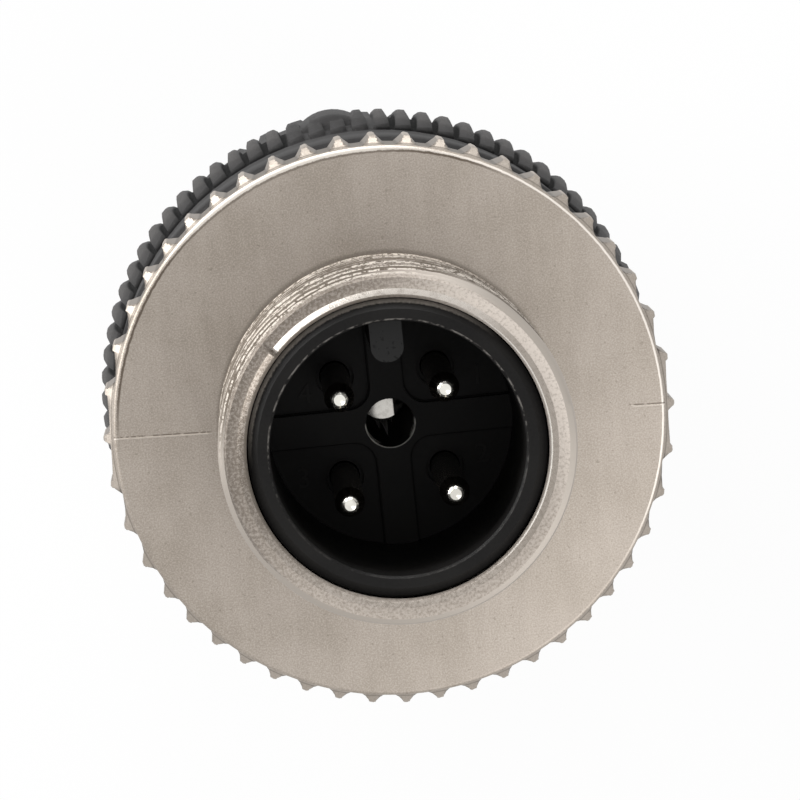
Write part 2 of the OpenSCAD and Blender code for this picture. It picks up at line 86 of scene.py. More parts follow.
class Graph:
    """A shader or geometry node tree that is being written."""

    def __init__(self, tree):
        self.tree = tree

    def add(self, kind, settings=None, values=None):
        """Adds a node: its settings first, then the values or links of its sockets."""
        node = self.tree.nodes.new(kind)
        for name, value in (settings or {}).items():
            setattr(node, name, value)
        for key, value in (values or {}).items():
            if isinstance(value, Term):
                value = value.socket
            if isinstance(value, bpy.types.NodeSocket):
                self.tree.links.new(value, node.inputs[key])
            else:
                node.inputs[key].default_value = value
        return node

    def out(self, node, key=0):
        return Term(self, node.outputs[key])

    def math(self, operation, *terms):
        return self.out(self.add("ShaderNodeMath", {"operation": operation}, dict(enumerate(terms))))

    def step(self, term, start, end):
        """0 below start, 1 above end, smooth between them."""
        node = self.add(
            "ShaderNodeMapRange",
            {"interpolation_type": "SMOOTHSTEP"},
            {"Value": term, "From Min": start, "From Max": end},
        )
        return self.out(node, "Result")

    def mix(self, share, low, high):
        """The colour low where share is 0, and high where it is 1."""
        node = self.add("ShaderNodeMix", {"data_type": "RGBA"}, {0: share, 6: low, 7: high})
        return self.out(node, 2)

    def seen_directly(self):
        """1 for rays that show the thing itself to the eye or in metal, 0 for rays that gather its light."""
        rays = self.add("ShaderNodeLightPath")
        direct = ("Is Camera Ray", "Is Glossy Ray", "Is Transmission Ray")
        return self.math("MINIMUM", sum(self.out(rays, name) for name in direct), 1.0)


def linear(red, green, blue):
    """A colour that is seen as red, green, blue out of 255."""
    def one(value):
        value /= 255
        return value / 12.92 if value <= 0.04045 else ((value + 0.055) / 1.055) ** 2.4
    return one(red), one(green), one(blue), 1


def lighter(colour, factor, lift):
    """The colour made lighter by a factor and a lift."""
    red, green, blue, _ = colour
    return min(1, red * factor + lift), min(1, green * factor + lift), min(1, blue * factor + lift), 1


class Surface(Graph):
    """The node graph of a finish, with the point on the surface in millimetres."""

    def __init__(self, name):
        self.material = bpy.data.materials.new(name)
        self.material.use_nodes = True
        super().__init__(self.material.node_tree)
        self.tree.nodes.clear()
        place = self.add("ShaderNodeTexCoord")
        scale = self.add(
            "ShaderNodeVectorMath", {"operation": "SCALE"}, {0: place.outputs["Object"], "Scale": 1 / MM}
        )
        self.point = self.out(scale)
        parts = self.add("ShaderNodeSeparateXYZ", values={0: self.point})
        self.x, self.y, self.z = (self.out(parts, i) for i in range(3))
        self.radius = self.math("SQRT", self.x * self.x + self.y * self.y)

    def stretched(self, x, y, z):
        """The point with its axes scaled, for grain that runs one way."""
        node = self.add("ShaderNodeVectorMath", {"operation": "MULTIPLY"}, {0: self.point, 1: (x, y, z)})
        return self.out(node)

    def noise(self, size, detail=2.0, rough=0.5, at=None):
        """Cloudy noise whose lumps are about size millimetres across."""
        node = self.add(
            "ShaderNodeTexNoise",
            {"noise_dimensions": "3D"},
            {"Vector": at or self.point, "Scale": 1 / size, "Detail": detail, "Roughness": rough},
        )
        return self.out(node, 0)

    def turning_marks(self):
        """Fine grain drawn out across the Z axis, like the marks of a turning tool."""
        return self.noise(0.1, 2.0, 0.6, at=self.stretched(0.4, 0.4, 5))

    def bump(self, height, strength, distance):
        """Normals for a height in units of distance millimetres."""
        values = {"Height": height, "Strength": strength, "Distance": distance * MM}
        node = self.add("ShaderNodeBump", None, values)
        return self.out(node, "Normal")

    def band(self, term, centre, half, soft):
        """1 within half of the centre, 0 beyond half + soft."""
        away = self.math("ABSOLUTE", term - centre)
        return 1 - self.step(away, half, half + soft)

    def toward(self, degrees):
        """How far the point lies from the axis in a direction, in millimetres."""
        return self.x * math.cos(math.radians(degrees)) + self.y * math.sin(math.radians(degrees))

    def done(self, **sockets):
        """Closes the graph. A socket's name has its spaces written as underscores."""
        values = {name.replace("_", " "): value for name, value in sockets.items()}
        shader = self.add("ShaderNodeBsdfPrincipled", None, values)
        self.add("ShaderNodeOutputMaterial", None, {"Surface": shader.outputs[0]})
        return self.material


# ---------------------------------------------------------------- sizes, in millimetres and degrees

# Coupling nut: sleeve with its thread, bore and its chamfer, groove for the lock ring
NUT_REAR, NUT_TOP = span("coupling_nut")
FLANGE_TOP = NUT_REAR + 3
THREAD_R = 6.0
THREAD_PITCH = 1.0
THREAD_DEPTH = 0.61
THREAD_START = FLANGE_TOP + 0.55
THREAD_END = NUT_TOP - 0.12
THREAD_AROUND = 288
CREST_SHARE, ROOT_SHARE = 0.2, 0.86  # of half a pitch, from the middle of the crest
FOOT_FILLET = 0.3
BORE_R = 5.08
FRONT_OUT_R = 5.82
FRONT_IN_R = 5.35
CHAMFER_MIDDLE_R = 5.25
CHAMFER_END_R = BORE_R + 0.06
GROOVE_R = BORE_R + 0.52
GROOVE_START = NUT_REAR + 1.0
GROOVE_END = NUT_REAR + 1.9
NICK_AT = 136
NICK_DEPTH = 0.09

# Knurl of its flange, which two halves of a die have shaped by drawing apart
NUT_R = 10.05
TOOTH_H = 0.36
TOOTH_FOOT = 0.8
TOOTH_CREST = 0.3
VALLEY_R = NUT_R - TOOTH_H
QUARTER_TEETH = 12
EVEN_TEETH = 8
DRAW_SPREAD = 0.75
DRAW_POWER = 1.6
TOOTH_PITCH = (90 - DRAW_SPREAD * (QUARTER_TEETH - EVEN_TEETH) ** DRAW_POWER) / QUARTER_TEETH
PARTING_TURN = -2.3
SIDE_DRAFT = 0.17
SAME_POINT = 0.004
# Flash along the parting line: where it starts on the left and the right, where it ends, its section
LEFT_FLASH, RIGHT_FLASH, FLASH_END = 6.3, 8.4, 9.5
FLASH_HALF, FLASH_SUNK = 0.03, 0.05
LEFT_FLASH_HEIGHT, RIGHT_FLASH_HEIGHT = 0.028, 0.02

# Insert: cup, key, floor with its pockets and numbers, hole down the axis
_, RIM_Z = span("contact_carrier")
CUP_OUT_R = 5.0
CUP_IN_R = 4.275
KEY_W = 1.1
FLOOR_TOP = RIM_Z - 8.2
FLOOR_RIB = 1.15
POCKET_ROUND = 0.8
POCKET_DEPTH = 0.35
HOLE_R = 0.85
_, HOLE_END = span("centre_plug")
TONGUES = ((-0.28, 0.17, 4.0), (-0.04, 0.17, 6.7), (0.23, 0.1, 2.4))  # place along X, half width, length
DIGIT_SIZE = 1.0
DIGIT_HEIGHT = 0.05
DIGITS = (("1", (3.2, 1.3)), ("2", (3.1, -1.45)), ("3", (-3.2, -1.7)), ("4", (-2.85, 1.25)))

# Housing: smooth band, crowned grip with its marker bump; fine threads of the spigot and the neck
BAND_START = 39.0
BAND_END = 41.5
GRIP_MIDDLE = 34.5
GRIP_HALF = 3.7
GRIP_ROOT_R = 10.1
GRIP_CROWN = 0.33
MARKER_AT = 95
MARKER_HALF = 1.6
SPIGOT_R = 8.0
NECK_R = 7.8
RIDGE = 0.045
RIDGE_DEPTH = 0.09
RIDGE_AROUND = 144
SPIGOT_THREAD = (37.6, 41.2)
NECK_THREAD = (8.0, 15.3)


# ---------------------------------------------------------------- finishes


def nickel_casting():
    """Satin nickel on die-cast zinc: fine sandy grain, polished where tools or wear have rubbed it, with
    painted light and shade on its rims, teeth, thread and bore.
    """
    s = Surface("nickel_casting")
    grain = s.noise(0.058, 2.0, 0.65)
    coarse = s.noise(0.1, 2.0, 0.7)
    streaks = s.noise(0.5, 2.0, 0.5, at=s.stretched(1, 0.2, 1))
    patches = s.noise(2.4, 3.0, 0.55)
    pits = s.noise(0.16, 1.0)
    broken = s.noise(0.22, 2.0)
    # Zones of the casting
    upper_left = s.toward(118)
    chamfer = 1 - s.step(s.radius, FRONT_IN_R + 0.03, FRONT_IN_R + 0.07)
    front = s.step(s.z + chamfer * 0.2, THREAD_END - 0.005, THREAD_END + 0.005)
    top_end = s.step(s.z, NUT_TOP - 1.3, NUT_TOP - 1.2) * (1 - s.step(upper_left, 2.0, 4.4))
    sleeve = s.step(s.z, FLANGE_TOP + 0.3, FLANGE_TOP + 0.45) * (1 - front) * (1 - top_end)
    on_flange = s.step(s.z, FLANGE_TOP - 0.1, FLANGE_TOP - 0.06)
    face = on_flange * (1 - s.step(s.z, FLANGE_TOP + 0.1, FLANGE_TOP + 0.2))
    teeth = s.step(s.radius, VALLEY_R + 0.01, VALLEY_R + 0.05)
    # Bare casting: patches, faint streaks, more light on one side, grain and pits
    tone = s.mix(s.step(patches, 0.3, 0.7), linear(151, 142, 132), linear(162, 153, 144))
    tone = s.mix(s.step(streaks, 0.35, 0.7) * 0.2, tone, linear(178, 169, 159))
    tone = s.mix(s.step(s.toward(-20), -4, 10) * 0.22, tone, linear(190, 180, 170))
    tone = s.mix(s.step(grain, 0.45, 0.7) * 0.36, tone, linear(196, 188, 178))
    tone = s.mix(s.step(grain, 0.55, 0.3) * 0.3, tone, linear(128, 119, 108))
    tone = s.mix(s.step(pits, 0.69, 0.76) * 0.35, tone, linear(112, 103, 92))
    # Teeth: rubbed on their crests, with painted shade on their flanks and in the hollows of the valleys
    # below the rim
    bevel = NUT_R - 0.04 - (s.z - (FLANGE_TOP - 0.5)) * 0.935
    inside = s.math("MINIMUM", bevel, NUT_R) - s.radius
    flank = s.step(inside, 0.03, 0.09) * s.step(s.radius, VALLEY_R - 0.02, VALLEY_R + 0.03)
    tone = s.mix(teeth * (1 - flank) * 0.2, tone, linear(180, 172, 163))
    tone = s.mix(flank * 0.6, tone, linear(98, 90, 82))
    below_rim = 1 - s.step(s.z, FLANGE_TOP - 0.24, FLANGE_TOP - 0.17)
    hollow_shade = below_rim * s.band(s.radius, VALLEY_R, 0.05, 0.04)
    tone = s.mix(hollow_shade * 0.75, tone, linear(92, 85, 77))
    # Thread: painted shade over the sleeve between its turns; crests rubbed light in streaks that also serve
    # as their painted highlights, and darker between the streaks
    wobble = s.noise(0.9, 2.0)
    out_in = (s.radius + (wobble - 0.5) * 0.12) / 0.06
    up_down = (s.z + wobble * 0.5) / 0.85
    turns = s.noise(1.0, 2.0, 0.6, at=s.out(s.add("ShaderNodeCombineXYZ", None, {0: out_in, 1: up_down})))
    tone = s.mix(sleeve * 0.85, tone, linear(108, 99, 89))
    crest = s.step(s.radius, THREAD_R - 0.34, THREAD_R - 0.2) * sleeve
    crest_wear_and_highlight = s.step(turns, 0.46, 0.56) * s.step(broken, 0.34, 0.46) * s.step(coarse, 0.3, 0.52)
    tone = s.mix(crest * crest_wear_and_highlight * 0.9, tone, linear(206, 198, 188))
    tone = s.mix(crest * (1 - crest_wear_and_highlight) * 0.5, tone, linear(84, 76, 68))
    # Front ring: coarse grain, painted shade towards the upper left and painted light elsewhere; the top end
    # of the sleeve painted light except on the upper left
    upper_left_shade = s.step(s.toward(148), -0.5, 4.8)
    blend = s.step(s.z, NUT_TOP - 0.6, NUT_TOP - 0.5)
    tone = s.mix(blend * (1 - upper_left_shade) * 0.75, tone, linear(164, 155, 146))
    tone = s.mix(blend * s.step(s.toward(32), 2.0, 5.6) * 0.7, tone, linear(206, 197, 188))
    tone = s.mix(top_end * (1 - front) * 0.8, tone, linear(222, 214, 205))
    tone = s.mix(front * upper_left_shade * 0.85, tone, linear(104, 96, 88))
    tone = s.mix(front * s.step(coarse, 0.42, 0.66) * (0.3 - upper_left_shade * 0.08), tone, linear(206, 198, 190))
    tone = s.mix(front * s.step(coarse, 0.5, 0.34) * 0.3, tone, linear(104, 96, 88))
    # Rough brown line where the flat face meets the rounded rim on one side, with painted highlights on the
    # rim: broad on one side, thin on another
    wide = s.step(s.toward(108), 8.0, 9.2)
    edge = s.radius + (broken - 0.5) * 0.07 + (grain - 0.5) * 0.06 + wide * 0.05
    rim_highlight = s.step(edge, VALLEY_R - 0.17, VALLEY_R - 0.12) * face
    tone = s.mix(rim_highlight * wide * 0.8, tone, linear(224, 217, 208))
    rim = s.band(edge, VALLEY_R - 0.18, 0.026, 0.03) * face * s.step(upper_left, 4.2, 6.4)
    tone = s.mix(rim * (0.8 - wide * 0.3), tone, linear(78, 66, 55))
    glint = s.band(s.radius + (broken - 0.5) * 0.03, VALLEY_R - 0.1, 0.02, 0.03) * face
    tone = s.mix(glint * s.step(s.toward(25), 4.0, 8.0) * 0.8, tone, linear(240, 233, 225))
    # Where the two halves of the die met: a painted highlight along the fine ridge, under a dotted line of
    # painted shade
    above = s.toward(PARTING_TURN + 90)
    left_part = s.step(s.x, 0.1 - LEFT_FLASH, -0.1 - LEFT_FLASH)
    met = face * (left_part + s.step(s.x, RIGHT_FLASH - 0.1, RIGHT_FLASH + 0.2))
    flash_shade_dots = s.band(above, 0.05, 0.018, 0.02) * met * s.step(broken, 0.4, 0.55)
    tone = s.mix(flash_shade_dots * 0.7, tone, linear(92, 82, 72))
    tone = s.mix(s.band(above, 0.0, 0.02, 0.015) * met * 0.6, tone, linear(216, 208, 199))
    # Painted shadow in the corner at the foot of the sleeve
    foot = s.band(s.radius, THREAD_R - 0.15, 0.12, 0.16) * on_flange * (1 - front)
    tone = s.mix(foot * (1 - sleeve) * 0.5, tone, linear(104, 96, 87))
    # Chamfer of the bore, polished, with a painted highlight on one side up to the nick, grey painted shade
    # over the rest of it on the right and a thin painted highlight along its edge on the right; the bore
    # darkened as painted shade, most on the upper left
    polished = s.band(s.radius, CHAMFER_MIDDLE_R, 0.09, 0.02) * front
    chamfer_highlight = s.step(s.toward(105), 1.6, 4.4) * s.step(s.toward(NICK_AT - 90), -0.05, 0.12)
    tone = s.mix(polished * chamfer_highlight * (0.6 + s.step(broken, 0.35, 0.5) * 0.35), tone, linear(206, 199, 191))
    right = s.step(s.x, 2.0, 4.4)
    tone = s.mix(polished * (1 - chamfer_highlight) * right * 0.6, tone, linear(138, 130, 121))
    bore_edge_highlight = s.band(s.radius, CHAMFER_END_R - 0.015, 0.014, 0.014) * front
    tone = s.mix(bore_edge_highlight * right * 0.9, tone, linear(240, 235, 228))
    in_bore = 1 - s.step(s.radius, CHAMFER_END_R - 0.02, CHAMFER_END_R + 0.01)
    tone = s.mix(in_bore * (0.25 + upper_left_shade * 0.6), tone, linear(104, 97, 89))
    rough = 0.46 + grain * 0.1 - crest * 0.06 - polished * 0.24 - teeth * 0.04
    relief = grain * (1 + front * 1.4) + pits * 0.4
    return s.done(Base_Color=tone, Metallic=1.0, Roughness=rough, Normal=s.bump(relief, 0.3, 0.008))


def moulded(name, colour, roughness):
    """Moulded plastic with a fine eroded texture."""
    s = Surface(name)
    fine = s.noise(0.12, 2.0, 0.55)
    broad = s.noise(3.5, 2.0)
    light = lighter(colour, 1.35, 0.002)
    tone = s.mix(s.step(broad, 0.3, 0.7) * 0.6, colour, light)
    return s.done(
        Base_Color=tone, Roughness=roughness + (fine - 0.5) * 0.16, Normal=s.bump(fine, 0.15, 0.01),
    )


def housing_plastic():
    """Moulded polyamide of the housing and the gland nut: ribs painted lighter as highlights, dull and
    painted dark between them as shade.
    """
    s = Surface("housing_black")
    fine = s.noise(0.1, 2.0, 0.55)
    broad = s.noise(3.5, 2.0)
    tone = s.mix(s.step(broad, 0.3, 0.7) * 0.6, linear(36, 35, 35), linear(43, 42, 42))
    along = (s.z - GRIP_MIDDLE) / GRIP_HALF
    above = s.radius - GRIP_ROOT_R + along * along * GRIP_CROWN
    marker = s.band(s.toward(MARKER_AT - 90), 0.0, MARKER_HALF, 0.1) * s.step(s.toward(MARKER_AT), 8.0, 9.0)
    grip = s.band(s.z, GRIP_MIDDLE, GRIP_HALF - 0.1, 0.1) * (1 - marker)
    # Painted highlight on the tops of the ribs of the grip, and painted shade in the valleys between them
    tone = s.mix(grip * s.step(above, 0.12, 0.3) * 0.8, tone, linear(62, 60, 59))
    valley = grip * (1 - s.step(above, 0.02, 0.16))
    tone = s.mix(valley * 0.9, tone, linear(10, 10, 10))
    specks = s.step(s.noise(0.16, 1.0), 0.68, 0.76)
    tone = s.mix(specks * 0.1, tone, linear(120, 116, 112))
    smooth_band = s.step(s.z, BAND_START, BAND_END)
    rough = 0.58 + (fine - 0.5) * 0.16 + valley * 0.3 - smooth_band * 0.2
    return s.done(Base_Color=tone, Roughness=rough, Specular_IOR_Level=0.12, Normal=s.bump(fine, 0.22, 0.01))


def insert_plastic():
    """Dense black plastic of the insert: scuffed on its rim and key, with painted light on its rim, painted
    highlights on its edges and beside its hole, painted shade in the corners of its pockets, and glossy in
    streaks down its hole.
    """
    s = Surface("insert_black")
    fine = s.noise(0.1, 2.0, 0.6)
    broad = s.noise(2.2, 2.0)
    ragged = s.noise(0.3, 2.0, 0.7)
    tone = s.mix(s.step(broad, 0.3, 0.7), linear(16, 15, 15), linear(25, 24, 23))
    # The top of the cup lighter in fine speckles: scuffs, and painted light against the deep floor
    top = s.step(s.z, RIM_Z - 1.4, RIM_Z - 1.15)
    tone = s.mix(top * (0.04 + fine * 0.24), tone, linear(50, 49, 48))
    # Whitened burr along the inner edge of the cup with painted highlights on it, strongest on the upper
    # side; a painted highlight on the outer edge on one side; and the face of the key
    lip = s.step(s.z, RIM_Z - 0.16, RIM_Z - 0.1)
    burr_and_highlight = s.band(s.radius + (ragged - 0.5) * 0.05, CUP_IN_R + 0.06, 0.012, 0.026) * lip
    upper = s.step(s.y, -2.0, 2.0)
    tone = s.mix(burr_and_highlight * s.step(ragged, 0.4, 0.66) * (0.06 + upper * 0.42), tone, linear(166, 161, 155))
    edge = s.step(s.radius + (fine - 0.5) * 0.08, CUP_OUT_R - 0.16, CUP_OUT_R - 0.1)
    outer_edge_highlight = edge * s.step(s.z, RIM_Z - 0.4, RIM_Z - 0.34) * s.step(s.toward(112), 1.5, 4.0)
    tone = s.mix(outer_edge_highlight * (0.4 + fine * 0.6), tone, linear(150, 143, 135))
    beside_cup = s.step(s.y, 2.6, 2.7) * (1 - s.step(s.radius, 4.1, 4.3))
    key_face = s.band(s.x, 0.0, KEY_W / 2 - 0.01, 0.02) * beside_cup * top
    tone = s.mix(key_face * 0.6, tone, linear(56, 56, 56))
    # Raised contact numbers on the floors of the pockets
    raised = s.band(s.z, FLOOR_TOP - POCKET_DEPTH + DIGIT_HEIGHT, 0.02, 0.01)
    tone = s.mix(raised * 0.5, tone, linear(44, 43, 42))
    # Small chips in the face of the key
    chips = s.step(s.noise(0.13, 1.0), 0.62, 0.68) * top * (1 - s.step(s.radius, 4.0, 4.1))
    tone = s.mix(chips * 0.6, tone, linear(14, 14, 14))
    # Painted shade in the sharp corner along the edge of each pocket of the floor
    across = s.math("MAXIMUM", POCKET_ROUND + FLOOR_RIB / 2 - s.math("ABSOLUTE", s.x), 0.0)
    along = s.math("MAXIMUM", POCKET_ROUND + FLOOR_RIB / 2 - s.math("ABSOLUTE", s.y), 0.0)
    inward = POCKET_ROUND - s.math("SQRT", across * across + along * along)
    corner = s.band(inward, 0.02, 0.022, 0.02) * (1 - s.step(s.z, FLOOR_TOP - 0.1, FLOOR_TOP + 0.05))
    tone = s.mix(corner * 0.9, tone, linear(2, 2, 2))
    # Centre hole: dull wall with three glossy tongues, a painted highlight on its broken lower edge and
    # painted highlights in streaks beside it
    bore = 1 - s.step(s.radius, HOLE_R + 0.02, HOLE_R + 0.05)
    lower = 1 - s.step(s.y, -0.3, -0.1)
    tongues = 0.0
    for place, half_width, length in TONGUES:
        half = half_width * (1 - (s.z - HOLE_END) / length)
        tongues = tongues + s.step(half - s.math("ABSOLUTE", s.x - place), 0.0, 0.03)
    gloss = bore * lower * tongues
    mouth = s.step(s.z, FLOOR_TOP - 1.3, FLOOR_TOP - 1.0)
    left_side = s.step(s.x, -0.3, -0.5) * s.step(s.y, 0.1, -0.1)
    right_side = s.step(s.x, 0.6, 0.7) * s.step(s.y, 0.15, -0.05)
    streaks = bore * mouth * (left_side + right_side) * s.step(ragged, 0.42, 0.52)
    tone = s.mix(streaks, tone, linear(236, 234, 230))
    floor_edge = s.step(s.z, FLOOR_TOP - 0.05, FLOOR_TOP - 0.01) * (1 - top)
    lit = s.band(s.radius, HOLE_R + 0.02, 0.012, 0.016) * floor_edge * (1 - s.step(s.y, -0.3, 0.1))
    tone = s.mix(lit * 0.8, tone, linear(214, 212, 206))
    rough = 0.42 + (fine - 0.5) * 0.2 + bore * 0.1 - gloss * 0.46
    relief = s.bump(fine * (1 - bore) - corner * 6, 0.25, 0.008)
    return s.done(Base_Color=tone, Roughness=rough, Specular_IOR_Level=0.1, Normal=relief)


def dished_plate():
    """Polished dish of the centre plug, bright over a part and dull and dark with painted shadow over the
    rest.
    """
    s = Surface("plug_dish")
    # Bright polished part; the rest is dark as painted shadow
    polished_unshaded = s.step(s.x, 0.42, 0.36) * s.step(s.y, 0.1, -0.1)
    tone = s.mix(polished_unshaded, linear(22, 21, 20), linear(196, 193, 187))
    tone = s.mix(s.step(s.noise(0.2, 2.0), 0.4, 0.7) * 0.3, tone, linear(150, 147, 141))
    rough = 0.09 + (1 - polished_unshaded) * 0.4
    dish = s.radius * s.radius * 0.075
    return s.done(Base_Color=tone, Metallic=1.0, Roughness=rough, Normal=s.bump(dish, 1.0, 1.0))


def contact_pin():
    """Plated contact pin, with a painted highlight on its rounded tip and painted shade down its sides,
    clouded with tarnish there.
    """
    s = Surface("contact_plate")
    _, tip_z = span("pin_1")
    marks = s.turning_marks()
    clouds = s.noise(0.7, 2.0)
    side = s.mix(s.step(clouds, 0.35, 0.7), linear(150, 142, 130), linear(120, 110, 98))
    # Rounded tip painted bright as a highlight, and the sides below it darker as painted shade
    tone = s.mix(s.step(s.z, tip_z - 0.3, tip_z - 0.2), side, linear(232, 230, 222))
    tone = s.mix(s.step(clouds, 0.5, 0.62) * 0.25, tone, linear(140, 132, 120))
    rough = 0.2 + (marks - 0.5) * 0.12
    return s.done(Base_Color=tone, Metallic=1.0, Roughness=rough, Normal=s.bump(marks, 0.08, 0.01))


def plated(name, colour, roughness):
    """Bright plated metal with the finest of turning marks."""
    s = Surface(name)
    marks = s.turning_marks()
    clouds = s.noise(0.7, 2.0)
    red, green, blue, _ = colour
    tone = s.mix(s.step(clouds, 0.35, 0.7), colour, (red * 0.84, green * 0.83, blue * 0.8, 1))
    rough = roughness + (marks - 0.5) * 0.12
    return s.done(Base_Color=tone, Metallic=1.0, Roughness=rough, Normal=s.bump(marks, 0.08, 0.01))


def rubber():
    """Matt black rubber with a bloom of grey."""
    s = Surface("seal_rubber")
    bloom = s.noise(1.2, 3.0, 0.6)
    tone = s.mix(s.step(bloom, 0.4, 0.75), linear(22, 22, 23), linear(40, 40, 41))
    rough = 0.72 + (bloom - 0.5) * 0.2
    return s.done(Base_Color=tone, Roughness=rough, Normal=s.bump(s.noise(0.08), 0.2, 0.02))


NICKEL = nickel_casting()
HOUSING_BLACK = housing_plastic()
INSERT_BLACK = insert_plastic()
CAGE_GREY = moulded("cage_grey", linear(176, 176, 173), 0.45)
CONTACT_PLATE = contact_pin()
PLUG_DISH = dished_plate()
SCREW_ZINC = plated("screw_zinc", linear(214, 215, 214), 0.28)
RING_STEEL = plated("ring_steel", linear(172, 173, 175), 0.34)
SEAL_RUBBER = rubber()

CAD_FINISHES = {
    "contact_carrier": INSERT_BLACK,
    "centre_plug": PLUG_DISH,
    "lock_ring": RING_STEEL,
    "sealing_ring": SEAL_RUBBER,
    "clamp_cage": CAGE_GREY,
    "cable_seal": SEAL_RUBBER,
    "thrust_ring": CAGE_GREY,
}
for number in range(1, 5):
    CAD_FINISHES[f"pin_{number}"] = CONTACT_PLATE
    CAD_FINISHES[f"terminal_screw_{number}"] = SCREW_ZINC

for node, finish in CAD_FINISHES.items():
    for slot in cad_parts[node].material_slots:
        slot.link = "OBJECT"
        slot.material = finish


# ---------------------------------------------------------------- mesh helpers


def made(name, bm, finish, body, slot, *nodes, smooth=None):
    """Turns a bmesh in millimetres into a finished piece that rides on a body."""
    for face in bm.faces:
        face.material_index = 0
    bmesh.ops.remove_doubles(bm, verts=bm.verts, dist=1e-5)
    bmesh.ops.recalc_face_normals(bm, faces=bm.faces)
    mesh = bpy.data.meshes.new(name)
    bm.to_mesh(mesh)
    bm.free()
    mesh.transform(Matrix.Scale(MM, 4))
    mesh.materials.append(finish)
    piece = bpy.data.objects.new(name, mesh)
    bpy.context.scene.collection.objects.link(piece)
    if smooth is not None:
        mesh.shade_smooth()
        mesh.set_sharp_from_angle(angle=math.radians(smooth))
    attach(piece, body)
    if nodes:
        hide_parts(*nodes)


def ring_of(bm, points):
    """Vertices at a closed row of points."""
    return [bm.verts.new(p) for p in points]


def skin(bm, rings):
    """Quads between rings of equal counts, one after the other."""
    for a, b in zip(rings, rings[1:]):
        for i in range(len(a)):
            bm.faces.new((a[i - 1], a[i], b[i], b[i - 1]))


def circles(bm, profile, count):
    """Rings of vertices round the axis, one for each radius and height of a profile."""
    turns = [math.tau * i / count for i in range(count)]
    return [ring_of(bm, [(r * math.cos(a), r * math.sin(a), z) for a in turns]) for r, z in profile]


def arc(centre_r, centre_z, radius, start, end, steps):
    """Points of an arc in the plane of radius and height, angles in degrees."""
    angles = [math.radians(start + (end - start) * i / steps) for i in range(steps + 1)]
    return [(centre_r + radius * math.cos(a), centre_z + radius * math.sin(a)) for a in angles]


# ---------------------------------------------------------------- coupling nut


def on_tooth(k, radius, side):
    """Point of tooth k at a radius and a distance to the side, the parting line's side being positive."""
    a = math.radians(k * TOOTH_PITCH + DRAW_SPREAD * max(0, k - EVEN_TEETH) ** DRAW_POWER)
    return Vector((radius * math.sin(a) + side * math.cos(a), radius * math.cos(a) - side * math.sin(a)))


def tooth_half(k, side):
    """From the crest of tooth k down to its foot on one side, the crest rounded."""
    foot = on_tooth(k, VALLEY_R, side * TOOTH_FOOT / 2)
    shoulder = on_tooth(k, NUT_R - TOOTH_H * 0.25, side * TOOTH_CREST / 2)
    between = on_tooth(k, NUT_R - TOOTH_H * 0.07, side * TOOTH_CREST * 0.36)
    crest = on_tooth(k, NUT_R, side * TOOTH_CREST * 0.16)
    return [crest, between, shoulder, shoulder.lerp(foot, 0.5), foot]


def valley_points(k):
    """The rest of the valley between tooth k and the next, where the die has left it open."""
    down, up = tooth_half(k, 1), tooth_half(k + 1, -1)[::-1]
    edge, foot, next_foot, next_top = down[2], down[4], up[0], up[2]
    if foot.x >= edge.x:
        middle = [foot.lerp(next_foot, 0.5)]
        middle[0] *= VALLEY_R / middle[0].length
        return down + middle + up
    if edge.x < next_foot.x:
        floor = Vector((edge.x, math.sqrt(VALLEY_R ** 2 - edge.x ** 2)))
        return down[:3] + [edge.lerp(floor, 0.5), floor, floor.lerp(next_foot, 0.5)] + up
    share = (edge.x - next_foot.x) / (next_top.x - next_foot.x)
    meet = next_foot.lerp(next_top, share)
    return down[:3] + [edge.lerp(meet, 0.5), meet] + up[2:]


def knurl_outline():
    """The outline of the flange, which two die halves have left by drawing apart along one line."""
    quarter = []
    for k in range(QUARTER_TEETH):
        points = valley_points(k)
        quarter += points if k == 0 else points[1:]
    ring = []
    for mirror_x, mirror_y, backwards in ((1, 1, False), (1, -1, True), (-1, -1, False), (-1, 1, True)):
        part = [Vector((p.x * mirror_x, p.y * mirror_y)) for p in quarter]
        ring += part[::-1] if backwards else part
    tidy = []
    for p in ring:
        if not tidy or (p - tidy[-1]).length > SAME_POINT:
            tidy.append(p)
    if (tidy[0] - tidy[-1]).length < SAME_POINT:
        tidy.pop()
    turn = Matrix.Rotation(math.radians(PARTING_TURN), 2)
    return [turn @ p for p in tidy]


def clipped(outline, limit, draft):
    """The outline cut back to a circle, with the sides of its teeth drawn in by a share draft."""
    ring = []
    for p in outline:
        share = (p.length - VALLEY_R) / TOOTH_H
        drawn = VALLEY_R + TOOTH_H * (share - draft * 4 * share * (1 - share))
        ring.append(p * (min(limit, drawn) / p.length))
    return ring


